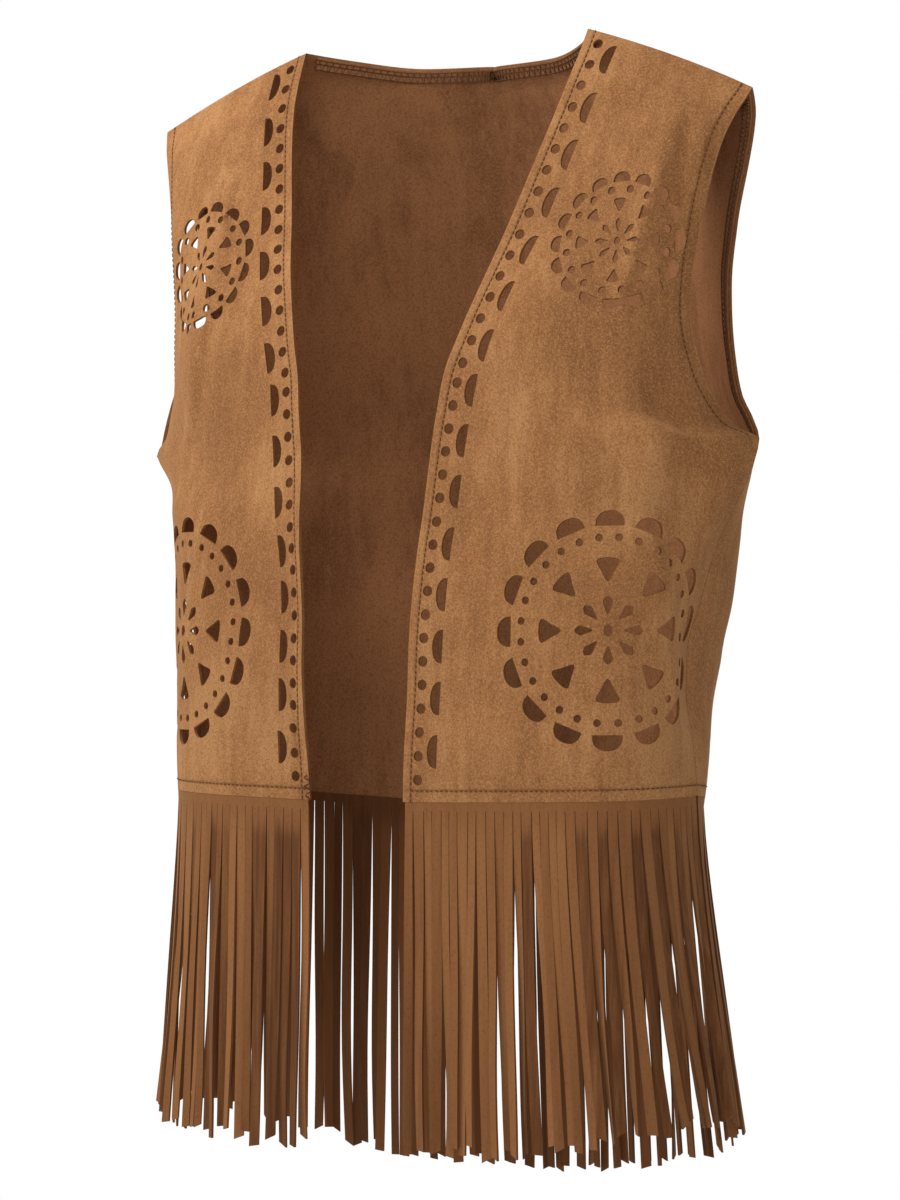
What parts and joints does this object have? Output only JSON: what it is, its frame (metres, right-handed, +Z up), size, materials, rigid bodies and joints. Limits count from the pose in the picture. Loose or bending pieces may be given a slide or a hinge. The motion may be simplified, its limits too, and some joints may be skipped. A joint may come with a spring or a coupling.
{
  "type": "fringed suede vest",
  "caption": "Open sleeveless suede vest with cutwork fronts, a shallow back neck and a fringed hem.",
  "frame": {"origin": "midway between the two points where the shoulder seams meet the neck", "axes": "+Z up the vest, the front faces -Y, the wearer's left is +X"},
  "size_m": [0.4023, 0.1875, 0.6273],
  "materials": {
    "suede": "napped",
    "fringe": "napped"
  },
  "bodies": {
    "root": {"right_front": "suede", "left_front": "suede", "back": "suede", "fringe_right_front": "fringe", "fringe_left_front": "fringe", "fringe_back": "fringe"}
  },
  "joints": []
}
